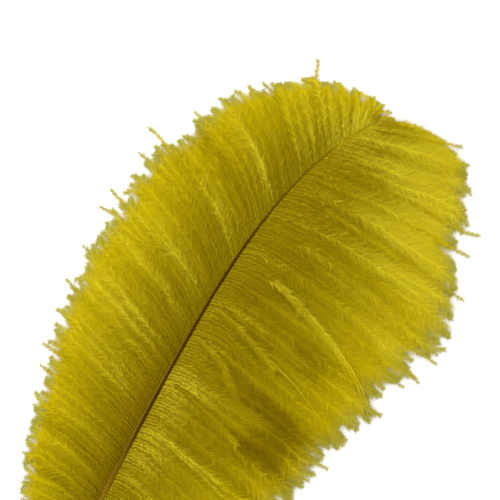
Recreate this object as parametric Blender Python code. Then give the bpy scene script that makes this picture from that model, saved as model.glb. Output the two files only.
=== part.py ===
"""An ostrich feather, dyed yellow, lying on its underside.

The feather is one grown piece. Its shaft has a flat underside, is bare at the quill and bends to
the right towards its tip. Two vanes grow from the shaft's sides. Each is made of soft locks that
leave the shaft at a slant, turn away from it, arch over and come down to the surface. For most of
their length the locks cling together, each lying over the edge of the next one like a shingle.
Near the vane's edge they part, and each ends in a point of its own.

The origin is on the shaft's flat underside. +Y runs along the straight shaft towards the tip, +X
is the side of the wide vane and +Z is up. All lengths are in metres.
"""

import math
import random

import bmesh
import bpy
from mathutils import Vector

MM = 0.001

# Shaft, measured along it from the quill's end
SHAFT_LENGTH = 420 * MM
ORIGIN_AT = 150 * MM
SHAFT_TURN = math.radians(38.5)
SHAFT_TURN_POWER = 4.8
SHAFT_RINGS = 29
SHAFT_WIDTHS = (
    (0 * MM, 1.8 * MM),
    (6 * MM, 3.2 * MM),
    (25 * MM, 4.4 * MM),
    (60 * MM, 4.5 * MM),
    (110 * MM, 3.9 * MM),
    (260 * MM, 2.4 * MM),
    (420 * MM, 0.7 * MM),
)
SHAFT_HEIGHT_SHARE = 0.95
# Half of the shaft's section, as shares of its half width and of its height, from the edge of
# the flat underside up round the side to the crown
SHAFT_SECTION = ((0.62, 0.0), (1.0, 0.3), (0.92, 0.68), (0.45, 1.0))

# Vanes: where a lock's root is along the shaft, its angle to the shaft at the root and at the
# tip, in degrees, and its length
LEFT_VANE = (
    (45 * MM, 62, 140, 20 * MM),
    (80 * MM, 60, 124, 48 * MM),
    (110 * MM, 58, 108, 67 * MM),
    (170 * MM, 52, 90, 92 * MM),
    (240 * MM, 50, 82, 94 * MM),
    (305 * MM, 54, 72, 82 * MM),
    (350 * MM, 64, 60, 68 * MM),
    (385 * MM, 80, 44, 46 * MM),
    (408 * MM, 58, 14, 30 * MM),
    (420 * MM, 26, -14, 28 * MM),
)
RIGHT_VANE = (
    (45 * MM, 52, 136, 22 * MM),
    (80 * MM, 48, 126, 72 * MM),
    (110 * MM, 44, 118, 104 * MM),
    (170 * MM, 44, 112, 136 * MM),
    (240 * MM, 47, 104, 148 * MM),
    (305 * MM, 50, 92, 138 * MM),
    (350 * MM, 52, 76, 118 * MM),
    (385 * MM, 52, 60, 90 * MM),
    (408 * MM, 40, 46, 66 * MM),
    (420 * MM, 14, 36, 52 * MM),
)
FIRST_LOCK_AT = 46 * MM
LAST_LOCK_AT = 413 * MM
LOCKS_A_SIDE = 30
LOCK_RINGS = 9
LINE_STEPS_PER_RING = 6
LOCK_TURN_POWER = 1.25
LENGTH_SPREAD = 0.07
# Slow swaying of the tips' angle from lock to lock: degrees, and radians per lock
SWAYS = ((2.6, 1.35), (1.6, 2.9))
SEED = 11

# Height of a lock's middle above the surface
ROOT_HEIGHT_SHARE = 0.55
TIP_HEIGHT = 0.8 * MM
LEFT_ARCH = 7.5 * MM
RIGHT_ARCH = 10.5 * MM
ARCH_LENGTH = 110 * MM
ARCH_SPREAD = 0.3
ARCH_SKEW = 0.85

# Section of a lock
ROOT_INSET_SHARE = 0.12
ROOT_THICKNESS_SHARE = 0.3
HALF_THICKNESS = 1.9 * MM
TIP_HALF_THICKNESS = 0.35 * MM
THICK_FROM = 0.3
TIP_HALF_WIDTH = 0.5 * MM
PART_AT_RINGS = (5, 6, 6, 7)
PART_POWER = 0.85
RINGS_TO_SQUARE = 4
# Across a lock, from the edge that lies over its neighbour to the edge under the next one: the
# place, and the heights of the upper and the lower face, as shares of the half thickness
LOCK_SECTION = (
    (0.0, -0.1, -0.85),
    (0.26, 1.0, -0.6),
    (0.66, 0.55, -0.7),
    (1.0, -0.1, -0.85),
)

VANE_COLOUR = (0.42, 0.33, 0.004, 1.0)
SHAFT_COLOUR = (0.075, 0.028, 0.004, 1.0)
VANE_ROUGHNESS = 0.8
SHAFT_ROUGHNESS = 0.4


def eased(stations, column, at):
    """One column of a table of stations, read on a smooth curve through them."""
    last = len(stations) - 1
    low = 0
    while low < last - 1 and at > stations[low + 1][0]:
        low += 1
    high = low + 1
    span = stations[high][0] - stations[low][0]
    slopes = []
    for k in (low, high):
        before, after = stations[max(k - 1, 0)], stations[min(k + 1, last)]
        slopes.append((after[column] - before[column]) / (after[0] - before[0]))
    t = min(max((at - stations[low][0]) / span, 0.0), 1.0)
    return (
        (2 * t**3 - 3 * t**2 + 1) * stations[low][column]
        + (t**3 - 2 * t**2 + t) * span * slopes[0]
        + (3 * t**2 - 2 * t**3) * stations[high][column]
        + (t**3 - t**2) * span * slopes[1]
    )


def along(angle):
    """The unit vector in the surface that points this way, in radians from +X."""
    return Vector((math.cos(angle), math.sin(angle), 0.0))


def heading(at):
    """The shaft's direction at this distance from the quill's end."""
    share = min(at / SHAFT_LENGTH, 1.0)
    return math.pi / 2 - SHAFT_TURN * share**SHAFT_TURN_POWER


def shaft_place(at):
    """The middle of the shaft's underside at this distance from the quill's end."""
    steps = max(1, round(at / MM))
    place = Vector((0.0, -ORIGIN_AT, 0.0))
    for k in range(steps):
        place += along(heading((k + 0.5) * at / steps)) * (at / steps)
    return place


def material(name, colour, roughness):
    made = bpy.data.materials.new(name)
    made.use_nodes = True
    shader = made.node_tree.nodes["Principled BSDF"]
    shader.inputs["Base Color"].default_value = colour
    shader.inputs["Roughness"].default_value = roughness
    shader.inputs["Metallic"].default_value = 0.0
    return made


def new_object(name, bm, finish):
    """A smooth-shaded mesh object in the scene, made of these closed faces."""
    bmesh.ops.recalc_face_normals(bm, faces=bm.faces)
    bmesh.ops.triangulate(bm, faces=bm.faces)
    mesh = bpy.data.meshes.new(name)
    bm.to_mesh(mesh)
    bm.free()
    mesh.shade_smooth()
    mesh.set_sharp_from_angle(angle=math.radians(50))
    mesh.materials.append(finish)
    made = bpy.data.objects.new(name, mesh)
    bpy.context.scene.collection.objects.link(made)
    return made


def make_shaft():
    """The shaft: its section swept along its bend, with flat ends."""
    outline = SHAFT_SECTION + tuple((-x, z) for x, z in reversed(SHAFT_SECTION))
    bm = bmesh.new()
    rings = []
    for k in range(SHAFT_RINGS):
        at = SHAFT_LENGTH * k / (SHAFT_RINGS - 1)
        width = eased(SHAFT_WIDTHS, 1, at)
        across = along(heading(at) - math.pi / 2)
        ring = []
        for x, z in outline:
            point = shaft_place(at) + across * (x * width / 2)
            point.z = z * width * SHAFT_HEIGHT_SHARE
            ring.append(bm.verts.new(point))
        rings.append(ring)
    for low, high in zip(rings, rings[1:]):
        for k, vert in enumerate(low):
            after = (k + 1) % len(low)
            bm.faces.new((vert, low[after], high[after], high[k]))
    bm.faces.new(rings[0][::-1])
    bm.faces.new(rings[-1])
    return new_object("feather", bm, material("shaft_brown", SHAFT_COLOUR, SHAFT_ROUGHNESS))


def lock_line(at, side, vane, arch, sway, draw):
    """A lock's middle line: at each ring its place, the way to its right and its half thickness."""
    leave = eased(vane, 1, at)
    end = eased(vane, 2, at) + sway
    length = eased(vane, 3, at) * (1 + draw.uniform(-LENGTH_SPREAD, LENGTH_SPREAD))
    rise = arch * min(1.0, length / ARCH_LENGTH) ** 0.5
    rise *= 1 + draw.uniform(-ARCH_SPREAD, ARCH_SPREAD)
    width = eased(SHAFT_WIDTHS, 1, at)
    root_height = width * SHAFT_HEIGHT_SHARE * ROOT_HEIGHT_SHARE
    root_thick = min(width * ROOT_THICKNESS_SHARE, HALF_THICKNESS)
    outward = along(heading(at) + side * math.pi / 2)
    place = shaft_place(at) + outward * (ROOT_INSET_SHARE * width)
    line = []
    steps = LINE_STEPS_PER_RING * (LOCK_RINGS - 1)
    for step in range(steps + 1):
        t = step / steps
        turned = leave + (end - leave) * t**LOCK_TURN_POWER
        angle = heading(at) + side * math.radians(turned)
        if step % LINE_STEPS_PER_RING == 0:
            point = place.copy()
            point.z = root_height * (1 - t) + TIP_HEIGHT * t
            point.z += rise * math.sin(math.pi * t**ARCH_SKEW)
            thick = root_thick + (HALF_THICKNESS - root_thick) * min(1.0, t / THICK_FROM)
            thick += (TIP_HALF_THICKNESS - thick) * t**3
            line.append((point, along(angle - side * math.pi / 2), thick))
        place += along(angle) * (length / steps)
    return line


def lock_lines(side, vane, arch, draw):
    """The middle lines of a vane's locks, from the quill to the tip."""
    phases = [draw.uniform(0, 2 * math.pi) for _ in SWAYS]
    lines = []
    for k in range(LOCKS_A_SIDE):
        at = FIRST_LOCK_AT + (LAST_LOCK_AT - FIRST_LOCK_AT) * k / (LOCKS_A_SIDE - 1)
        sway = sum(
            size * math.sin(pace * k + phase)
            for (size, pace), phase in zip(SWAYS, phases)
        )
        lines.append(lock_line(at, side, vane, arch, sway, draw))
    return lines


def shared_edges(lines):
    """The lines that neighbouring locks share, with a free one before the first and after the last."""
    middles = [[ring[0] for ring in line] for line in lines]
    edges = [
        [(low + high) / 2 for low, high in zip(a, b)]
        for a, b in zip(middles, middles[1:])
    ]
    first = [2 * middle - edge for middle, edge in zip(middles[0], edges[0])]
    last = [2 * middle - edge for middle, edge in zip(middles[-1], edges[-1])]
    return [first] + edges + [last]


def edge_place(line, edge, parts_at, ring, turn):
    """Where a lock's edge is at a ring: on the shared edge, or drawn in towards its own tip."""
    if ring <= parts_at:
        return edge[ring]
    middle, right, _ = line[ring]
    gap = edge[parts_at] - line[parts_at][0]
    left = (LOCK_RINGS - 1 - ring) / (LOCK_RINGS - 1 - parts_at)
    wide = TIP_HALF_WIDTH + (gap.length - TIP_HALF_WIDTH) * left**PART_POWER
    squared = min(1.0, (ring - parts_at) / RINGS_TO_SQUARE)
    way = gap.normalized().lerp(right * turn, squared).normalized()
    way.z = 0.0
    return middle + way * wide


def make_vane(name, side, vane, arch, draw):
    """A vane as one closed sheet of locks, which share their edges as far as they cling together."""
    lines = lock_lines(side, vane, arch, draw)
    edges = shared_edges(lines)
    parts_at = [0] + [draw.choice(PART_AT_RINGS) for _ in lines[1:]] + [0]
    bm = bmesh.new()
    made = {}

    def upper_and_lower(key, place, high, low):
        if key not in made:
            made[key] = [
                bm.verts.new((place.x, place.y, place.z + z)) for z in (high, low)
            ]
        return made[key]

    for i, line in enumerate(lines):
        columns = []
        for column, (share, high, low) in enumerate(LOCK_SECTION):
            bound = {0: i, len(LOCK_SECTION) - 1: i + 1}.get(column)
            rows = []
            for k, (middle, _, thick) in enumerate(line):
                start = edge_place(line, edges[i], parts_at[i], k, -1)
                stop = edge_place(line, edges[i + 1], parts_at[i + 1], k, 1)
                place = start.lerp(stop, share)
                key = (i, column, k)
                if bound is None:
                    place.z = middle.z
                elif k <= parts_at[bound]:
                    key = ("shared", bound, k)
                rows.append(upper_and_lower(key, place, high * thick, low * thick))
            columns.append(rows)
        for a, b in zip(columns, columns[1:]):
            for k in range(LOCK_RINGS - 1):
                bm.faces.new((a[k][0], b[k][0], b[k + 1][0], a[k + 1][0]))
                bm.faces.new((a[k][1], a[k + 1][1], b[k + 1][1], b[k][1]))
            bm.faces.new((a[0][0], a[0][1], b[0][1], b[0][0]))
            bm.faces.new((a[-1][0], b[-1][0], b[-1][1], a[-1][1]))
        for rows, bound in ((columns[0], i), (columns[-1], i + 1)):
            for k in range(parts_at[bound], LOCK_RINGS - 1):
                bm.faces.new((rows[k][0], rows[k + 1][0], rows[k + 1][1], rows[k][1]))
    return new_object(name, bm, bpy.data.materials["dyed_yellow"])


def main():
    for thing in list(bpy.data.objects):
        bpy.data.objects.remove(thing)
    draw = random.Random(SEED)
    material("dyed_yellow", VANE_COLOUR, VANE_ROUGHNESS)
    feather = make_shaft()
    for name, side, vane, arch in (
        ("left_vane", 1, LEFT_VANE, LEFT_ARCH),
        ("right_vane", -1, RIGHT_VANE, RIGHT_ARCH),
    ):
        sheet = make_vane(name, side, vane, arch, draw)
        sheet.hide_render = True
        sheet.display_type = "WIRE"
        fuse = feather.modifiers.new(f"fuse_{name}", "BOOLEAN")
        fuse.operation = "UNION"
        fuse.solver = "EXACT"
        fuse.material_mode = "TRANSFER"
        fuse.object = sheet


main()
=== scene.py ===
"""An ostrich feather, dyed yellow, lying on a white surface and seen from above.

The shaft is drawn out ring by ring from the quill to the tip. Each vane is some 190 barbs that
leave the shaft at a slant, arch over and gather into soft locks. Every barb is a thin stem with
tufts of fine barbules and broader down along both of its sides, and a mat below the barbs closes
the vane. A few more barbs lie loose on the vanes or reach past them. The barbs follow the same
lines as the solid that they stand for.
"""

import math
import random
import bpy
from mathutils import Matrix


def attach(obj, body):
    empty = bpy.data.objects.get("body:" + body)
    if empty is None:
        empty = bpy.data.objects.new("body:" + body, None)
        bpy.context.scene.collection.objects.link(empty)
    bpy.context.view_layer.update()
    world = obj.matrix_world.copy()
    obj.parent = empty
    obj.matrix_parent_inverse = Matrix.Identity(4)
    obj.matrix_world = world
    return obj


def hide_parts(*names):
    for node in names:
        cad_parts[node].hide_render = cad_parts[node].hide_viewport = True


bl_info = {
    "name": "Ostrich Feather",
    "version": (1, 0, 0),
    "blender": (4, 5, 0),
    "location": "View3D > Sidebar > Feather",
    "description": "Builds a dyed ostrich feather and the stage that it is seen on",
    "category": "Add Mesh",
}

import bpy
import numpy as np
from bpy.props import FloatProperty, FloatVectorProperty, PointerProperty
from mathutils import Vector

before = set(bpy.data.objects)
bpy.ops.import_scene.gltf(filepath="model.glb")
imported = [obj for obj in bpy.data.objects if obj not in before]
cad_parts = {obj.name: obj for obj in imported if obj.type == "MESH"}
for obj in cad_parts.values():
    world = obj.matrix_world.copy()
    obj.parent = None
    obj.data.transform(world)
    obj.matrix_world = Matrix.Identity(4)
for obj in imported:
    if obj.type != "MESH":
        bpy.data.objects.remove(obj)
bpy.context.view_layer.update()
MM = 0.001


def table(*rows, lengths):
    """Rows of numbers. Those in the columns that hold lengths are written in millimetres."""
    return tuple(tuple(value * MM if k in lengths else value for k, value in enumerate(row)) for row in rows)


# Shaft, measured along it from the quill's end, as in the solid
SHAFT_LENGTH = 420 * MM
ORIGIN_AT = 150 * MM
SHAFT_TURN = math.radians(38.5)
SHAFT_TURN_POWER = 4.8
SHAFT_WIDTHS = np.array(table(
    (0, 1.8),
    (6, 3.2),
    (25, 4.4),
    (60, 4.5),
    (110, 3.9),
    (260, 2.4),
    (420, 0.7),
    lengths=(0, 1),
))
SHAFT_HEIGHT_SHARE = 0.95
MIDDLE_SHARE = 0.4
SHAFT_SIDES = 16
SHAFT_STEP = 6 * MM
# The first rings, which round the quill's end off, and the share of the width that it starts with
QUILL_END_RINGS = (0.0, 0.7 * MM, 2.5 * MM)
QUILL_END_WIDTH = 0.35
SHAFT_SMOOTH_ANGLE = math.radians(50)

# Vanes: where a barb's root is along the shaft, its angle to the shaft at the root and at the
# tip, in degrees, its length, and the share of its turn that it takes close to the shaft
LEFT_VANE = np.array(table(
    (45, 62, 140, 19, 0.00),
    (80, 60, 124, 45, 0.00),
    (110, 60, 104, 60, 0.10),
    (140, 60, 88, 67, 0.30),
    (170, 58, 77, 81, 0.50),
    (205, 52, 75, 89, 0.50),
    (240, 46, 77, 86, 0.38),
    (272, 43, 79, 90, 0.25),
    (305, 43, 82, 81, 0.13),
    (328, 47, 82, 76, 0.05),
    (350, 53, 80, 67, 0.00),
    (368, 55, 76, 54, 0.00),
    (385, 58, 69, 46, 0.00),
    (397, 60, 48, 31, 0.00),
    (408, 50, 30, 20, 0.00),
    (420, 4, -6, 9, 0.00),
    lengths=(0, 3),
))
RIGHT_VANE = np.array(table(
    (45, 54, 124, 15, 0.80),
    (80, 54, 116, 43, 0.80),
    (110, 52, 110, 70, 0.85),
    (140, 50, 107, 87, 0.90),
    (170, 50, 104, 103, 0.90),
    (205, 50, 102, 112, 0.90),
    (240, 50, 100, 122, 0.95),
    (272, 50, 96, 129, 0.95),
    (305, 50, 91, 139, 0.90),
    (328, 50, 86, 134, 0.85),
    (350, 49, 79, 118, 0.80),
    (368, 48, 69, 105, 0.75),
    (385, 47, 59, 89, 0.70),
    (397, 45, 52, 77, 0.60),
    (408, 40, 48, 66, 0.50),
    (420, 20, 46, 20, 0.20),
    lengths=(0, 3),
))
# How far along a barb the early share of its turn is mostly done
EARLY_TURN = 0.07
FIRST_LOCK_AT = 46 * MM
LAST_LOCK_AT = 413 * MM
LOCKS_A_SIDE = 30
LOCK_TURN_POWER = 1.25
LENGTH_SPREAD = 0.07
SWAYS = ((2.6, 1.35), (1.6, 2.9))
PART_AT_RINGS = (5, 6, 6, 7)
LOCK_SEED = 11
ROOT_HEIGHT_SHARE = 0.55
TIP_HEIGHT = 0.8 * MM
LEFT_ARCH = 7.5 * MM
RIGHT_ARCH = 10.5 * MM
ARCH_LENGTH = 110 * MM
ARCH_SPREAD = 0.3
ARCH_SKEW = 0.85

# Barbs: how many rings their lines are read at, where these are as shares of the length, and where
# the steps between them are
BARB_RINGS = 37
RINGS_AT = np.linspace(0, 1, BARB_RINGS)
STEPS_AT = (np.arange(BARB_RINGS - 1) + 0.5) / (BARB_RINGS - 1)
FIRST_BARB_AT = 45 * MM
LAST_BARB_AT = 419.5 * MM
# Distance between barbs along the shaft, as shares of the spacing near the quill
SPACINGS = np.array(table(
    (45, 1.0),
    (230, 1.05),
    (340, 1.15),
    (385, 0.75),
    (420, 0.3),
    lengths=(0,),
))
# Where a barb stands in its stretch of the shaft
ROOT_JITTER = (0.3, 0.7)
# Strands of a few neighbours: how many, their least half width, their turn in degrees, and their
# length as a share of the vane's
BARBS_A_STRAND = (3, 8)
LEAST_HALF_STRAND = 0.5 * MM
STRAND_TURN = 0.9
STRAND_LENGTH_SPREAD = 0.03
LONGEST_STRAND = 1.045
LOCK_LENGTH_SHARE = 0.3
# The barbs at a strand's edges are shorter, by up to this share times a draw up to EDGE_SPREAD
EDGE_SHORTER = 0.04
EDGE_SPREAD = 1.5
# How fast a strand's barbs draw together from the shaft on, how far in each vane, and how they part
# again: the share that is given up, how fast, and where this begins
GATHER_PACE = 2.4
LEFT_GATHERED = 0.3
RIGHT_GATHERED = 0.45
PARTING = (0.75, 2.2, 0.55)
# A strand's crest: its height as a share of the crown, how much lower its edges are, and the shape
# of its bow along the barb
CREST_RANGE = (-0.5, 1.1)
CREST_EDGE = 0.7
CREST_BOW = 0.8
# Some barbs reach past their neighbours: how many, by how much, and in full only on longer barbs
LONER_SHARE = 0.13
LONER_MORE = (2 * MM, 5 * MM)
LONER_FROM = 40 * MM
# How often the lengths are fitted to the vane's outline, and how much the barbs' turns differ
OUTLINE_PASSES = 2
TURN_SPREAD = 2.2
# Bends of a barb's own: the range of their lengths along it, their size in degrees, and the range
# of shares of that size that barbs have
OWN_WAVES = ((24 * MM, 60 * MM, 6.0), (8 * MM, 15 * MM, 7.0))
OWN_WAVE_RANGE = (0.4, 1.2)
# Fine kinks of every stem: their length along it and how this and their phase drift from barb to
# barb, their size, how far from the shaft they start, and where they fade to the share that is left
KINK_LENGTH = 6.5 * MM
KINK_LENGTH_SPREAD = 0.22
KINK_LENGTH_DRIFT = 0.5
KINK_DRIFT = 0.16
KINK_SIZE = 0.27 * MM
KINK_FROM = 4 * MM
KINK_FADES = (34 * MM, 66 * MM)
KINK_LEFT = 0.35
# The turn that the last stretch of a barb adds, either way, in degrees
TIP_CURL = 30
TIP_CURL_REACH = 16 * MM
# Bends that neighbours share: their length along a barb and along the shaft, and their size. A
# loose barb has only the last ones
SHARED_WAVES = ((17 * MM, 45 * MM, 6.0), (38 * MM, 52 * MM, 2.6), (71 * MM, -90 * MM, 2.6))
TOP_WAVES = ((24 * MM, 60 * MM, 3.0),)
# The lowest that any point lies and that a barb's line lies
LOWEST = 0.15 * MM
LINE_LOWEST = LOWEST + 0.3 * MM
# How far single barbs stand above or below their strand, and the shape of that bow
LIFT_SPREAD = 0.35 * MM
LIFT_BOW = 0.9
# Stems: the share of their width that is left at the tip, and how their width follows the shaft's,
# from where that has its usual width
STEM_TIP_SHARE = 0.3
USUAL_SHAFT_WIDTH = 3.9 * MM
STEM_WIDTH_POWER = 0.5
# A stem's rings: how far the fine ones reach, at most this share of it, their number and the rest
STEM_FINE_REACH = 42 * MM
STEM_FINE_SHARE = 0.6
STEM_FINE_RINGS = 32
STEM_FAR_RINGS = 8
STEM_RIDGE_SHARE = 0.45
BARB_SEED = 23

# Shades: 0 is the darkest olive, 1 the brightest yellow
MIDDLE_SHADE = 0.5
BARB_SHADES = (0.04, 0.96)
MAP_EDGES = (0.02, 0.98)
# Near the shaft, those of strands, barbs and crests have this share. They come up at this pace
NEAR_SHAFT = 0.45
SHADE_PACE = 2.5
# Stems are painted lighter by this at the shaft, a painted highlight on their lit ridges, and less so up to
# this far from it
STEM_RIDGE_HIGHLIGHT = 0.1
STEM_HIGHLIGHT_REACH = 38 * MM
# How much strands and barbs differ, and how much lighter a strand's crest is painted than its edges, as
# painted light on the crest and painted shade at the edges
STRAND_SHADE = 0.045
BARB_SHADE = 0.055
CREST_PAINTED_LIGHT_AND_SHADE = 0.04
CREST_MIDDLE = 0.35
# Slow streaks along the barbs: how strong, how many waves, their lengths and slants, and how far
# along a barb they are in full
PATCH_SHADE = 0.065
PATCH_WAVES = 7
PATCH_LENGTHS = (16 * MM, 48 * MM)
PATCH_SLANT = 0.25
PATCH_FULL_AT = 0.5
# Places of painted shade and painted light: the side, how far along the shaft and along the barb, the reach
# of each, and how much the shade changes. The darker ones paint shade in the groove beside the shaft and in
# the hollows, and the lighter ones paint light on outer parts and in the crease at the tip
PAINTED_LIGHT_AND_SHADE_PLACES = table(
    (-1, 202, 0.70, 17, 0.17, -0.42),
    (-1, 190, 0.56, 8, 0.10, -0.2),
    (-1, 256, 0.56, 9, 0.14, -0.26),
    (-1, 180, 0.14, 55, 0.20, 0.2),
    (-1, 270, 0.16, 9, 0.08, -0.2),
    (1, 160, 0.0, 75, 0.13, -0.5),
    (1, 225, 0.7, 60, 0.5, 0.12),
    (1, 385, 0.55, 30, 0.6, 0.08),
    (-1, 350, 0.9, 50, 0.3, 0.1),
    (-1, 223, 0.42, 42, 0.36, -0.08),
    (-1, 318, 0.85, 30, 0.25, 0.12),
    (1, 112, 0.55, 48, 0.6, -0.06),
    (1, 285, 0.85, 40, 0.25, -0.06),
    (-1, 375, 0.80, 60, 0.35, 0.16),
    (-1, 396, 0.58, 26, 0.45, 0.26),
    (1, 300, 0.75, 30, 0.35, -0.1),
    (-1, 352, 0.66, 36, 0.3, 0.13),
    (1, 408, 0.0, 22, 0.4, 0.3),
    (-1, 412, 0.0, 22, 0.14, 0.2),
    lengths=(1, 3),
)

# Barbules: how far along the barb, their length, the angle to the barb and the droop, in degrees
BARBULES = np.array(table(
    (0, 2.4, 56, 24),
    (12, 3.3, 48, 15),
    (32, 6.0, 40, 1),
    (60, 7.4, 34, -3),
    (150, 7.8, 32, -3),
    lengths=(0, 1),
))
# Down under the barbules, in the same way
DOWN = np.array(table(
    (0, 2.6, 58, 10),
    (20, 4.6, 50, 5),
    (50, 7.5, 42, 1),
    (150, 9.0, 38, 0),
    lengths=(0, 1),
))
DOWN_DROOP_SPREAD = 5
# The down is painted a little darker than its barb: painted shade under the barbules
DOWN_PAINTED_SHADE = 0.05
DOWN_WIDTHS = (0.7, 1.1)
# The mat below the barbs: its rings, how far it reaches along the barbs, and at most how near to their ends,
# its depth below them, how much darker it is painted, as painted shade below the barbs, its streaks, and how
# much darker still it is painted near the shaft, as painted shade between the ridges
LAYER_RINGS = 25
LAYER_REACH = (0.88, 0.955)
LAYER_STOPS = 8 * MM
LAYER_DEPTH = 0.9 * MM
LAYER_PAINTED_SHADE = 0.12
LAYER_STREAKS = 0.06
LAYER_ROOT_PAINTED_SHADE = 0.08
LAYER_ROOT = 25 * MM
LAYER_SMOOTHING = 5
# Tufts: how many barbules, where in its stretch of barb a tuft stands, how far the barbules draw
# together at its tip, and how much tufts differ in lean and droop, in degrees, and in shade
BARBULES_A_TUFT = 12
PLACE_IN_STRETCH = (0.1, 0.9)
TUFT_DRAW = 0.3
TUFT_LEAN_SPREAD = 13
TUFT_DROOP_SPREAD = 10
TUFT_SHADE = 0.06
# How much the barbules in a tuft differ, in the same way
OWN_LEAN_SPREAD = 7
OWN_DROOP_SPREAD = 6
OWN_SHADE = 0.04
OWN_LENGTHS = (0.75, 1.15)
OWN_WIDTHS = (0.8, 1.2)
ROLL_SPREAD = 24
# The last barbules of a barb stand off it by this much more, in degrees, within this of its end
END_SPLAY = 24
END_SPLAY_REACH = 9 * MM
# How barbules and down differ in length, and the longest that they are, as a share of their barb
LENGTH_RANGE = (0.7, 1.2)
LONGEST_ON_BARB = 0.5
# Near the shaft the barbules differ in lean and droop by this share of what they do farther out,
# and change over between these distances
NEAT_SHARE = 0.35
LOOSENS = (10 * MM, 50 * MM)
# The length of the barbules at a barb's end, as a share, how far from the end they are whole, and
# how much they lean, as a share
BARB_ENDS = (0.32, 18 * MM, 1.0)
THREAD_ENDS = (0.08, 96 * MM, 0.62)
BRUSH_ENDS = (0.6, 20 * MM, 0.8)
WISP_ENDS = (0.7, 8 * MM, 1.25)
# In the map, which the finish is painted from, u is the shade and v the share along the barb. A
# blade is this wide in it
STRAND_WIDTH_IN_MAP = 0.006
MAP_TOP = 0.99

# Strands that lie on top of a vane: the side, where they leave the shaft, the turn added at the root and at
# the tip, the share of the vane's length, how many barbs, where along them they come up, their lift, the
# fluff, the shade, and how much thicker their stems are. Threads catch the light, and their shade paints them
# lighter, a painted highlight; brushes are broader and duller
THREADS = table(
    (-1, 283, -9, 33, 1.06, 4, 0.27, 2.1, 0.9, 0.17, 1.4),
    (-1, 248, 1, 15, 0.85, 1, 0.45, 2.0, 0.45, 0.22, 1.5),
    (1, 252, 2, 6, 0.91, 1, 0.4, 2.4, 0.15, 0.24, 1.5),
    lengths=(1, 7),
)
BRUSHES = table(
    (-1, 230, 0, 39, 0.44, 4, 0.15, 0.9, 1.0, 0.05, 0.7),
    (-1, 252, 0, 18, 0.52, 4, 0.15, 0.9, 1.0, 0.04, 0.7),
    (-1, 315, 0, 6, 0.84, 4, 0.3, 1.0, 1.0, 0.05, 0.7),
    (-1, 341, 0, 6, 0.89, 4, 0.3, 1.0, 1.0, 0.05, 0.7),
    (-1, 196, 0, 10, 0.60, 3, 0.15, 0.5, 0.9, -0.03, 0.6),
    (-1, 164, 0, 4, 0.73, 3, 0.3, 1.3, 0.6, 0.12, 1.0),
    (1, 160, 0, 4, 0.90, 3, 0.4, 0.4, 0.9, 0.0, 0.5),
    lengths=(1, 7),
)
# How deep they lie in the vane before they come up, over which share of their length they do, how
# their lift differs and grows outwards, how much shorter some of a group are, how far apart their
# roots are, how much their turns differ, and the turn at their ends
TOP_SUNK = 2.5 * MM
TOP_RISE = 0.12
TOP_LIFTS = (0.8, 1.1)
TOP_LIFT_GROWTH = (0.75, 0.55)
TOP_SHORTER = 0.07
TOP_SPREAD = 0.9 * MM
TOP_TURN_SPREAD = 1.3
TOP_CURL = 3
# Single barbs that reach past a vane's outline: the side, where they leave the shaft, the turn
# added at the tip and the share of the vane's length
WISPS = table(
    (1, 371, -36, 1.28),
    (1, 356, 0, 1.08),
    (1, 310, 0, 1.12),
    (1, 278, -6, 1.22),
    (1, 269, 0, 1.13),
    (1, 244, 0, 1.18),
    (1, 238, 4, 1.17),
    (1, 212, 0, 1.08),
    (1, 190, 0, 1.09),
    (1, 158, 0, 1.12),
    (1, 148, 0, 1.12),
    (1, 127, 0, 1.10),
    (1, 105, 0, 1.06),
    (-1, 416, 0, 1.34),
    (-1, 413, -16, 0.8),
    (-1, 409, -13, 1.02),
    (-1, 393, 8, 1.12),
    (-1, 368, 4, 1.12),
    (-1, 357, 0, 1.07),
    (-1, 340, 4, 1.08),
    (-1, 316, 14, 1.05),
    (-1, 300, 0, 1.07),
    (-1, 288, 0, 1.08),
    (-1, 272, -8, 1.07),
    (-1, 252, 0, 1.06),
    (-1, 245, -10, 1.06),
    (-1, 208, 0, 1.09),
    (-1, 195, 0, 1.06),
    lengths=(1,),
)
# For each of these: how many barbs, where they come up, lift, fluff, shade and thickness
WISP = (1, 0.1, 0.6 * MM, 0.36, -0.08, 1.2)
WISP_CURL = 14
THREAD_SEED = 31
BRUSH_SEED = 37
WISP_SEED = 41
# Down between the roots of the last barbs: its pitch, where it starts, where it comes to cover the
# shaft and how much of it does, its turn and slope in degrees, its length and the most that this is
# of the vane's, how far back over the shaft it starts, its height at the root beside the shaft and
# over it, as a share of the shaft's, its shades, and its places along the map
ROOT_DOWN_PITCH = 0.1 * MM
ROOT_DOWN_FROM = 340 * MM
COVERED = (374 * MM, 394 * MM)
COVERING_SHARE = 0.85
ROOT_DOWN_TURN = 11
ROOT_DOWN_SLOPES = (-2, 6)
ROOT_DOWN_LENGTHS = (4 * MM, 8 * MM)
ROOT_DOWN_REACH = 0.8
ROOT_DOWN_BACK = 1.2 * MM
BESIDE_HEIGHTS = (0.25, 0.6)
OVER_HEIGHT = 1.15
ROOT_DOWN_SHADE = (0.42, 0.06)
# Down that lies over the shaft is painted lighter by this: painted light in the crease between the vanes
COVER_PAINTED_LIGHT = 0.16
BESIDE_IN_MAP = 0.05
OVER_IN_MAP = 0.25

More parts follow.
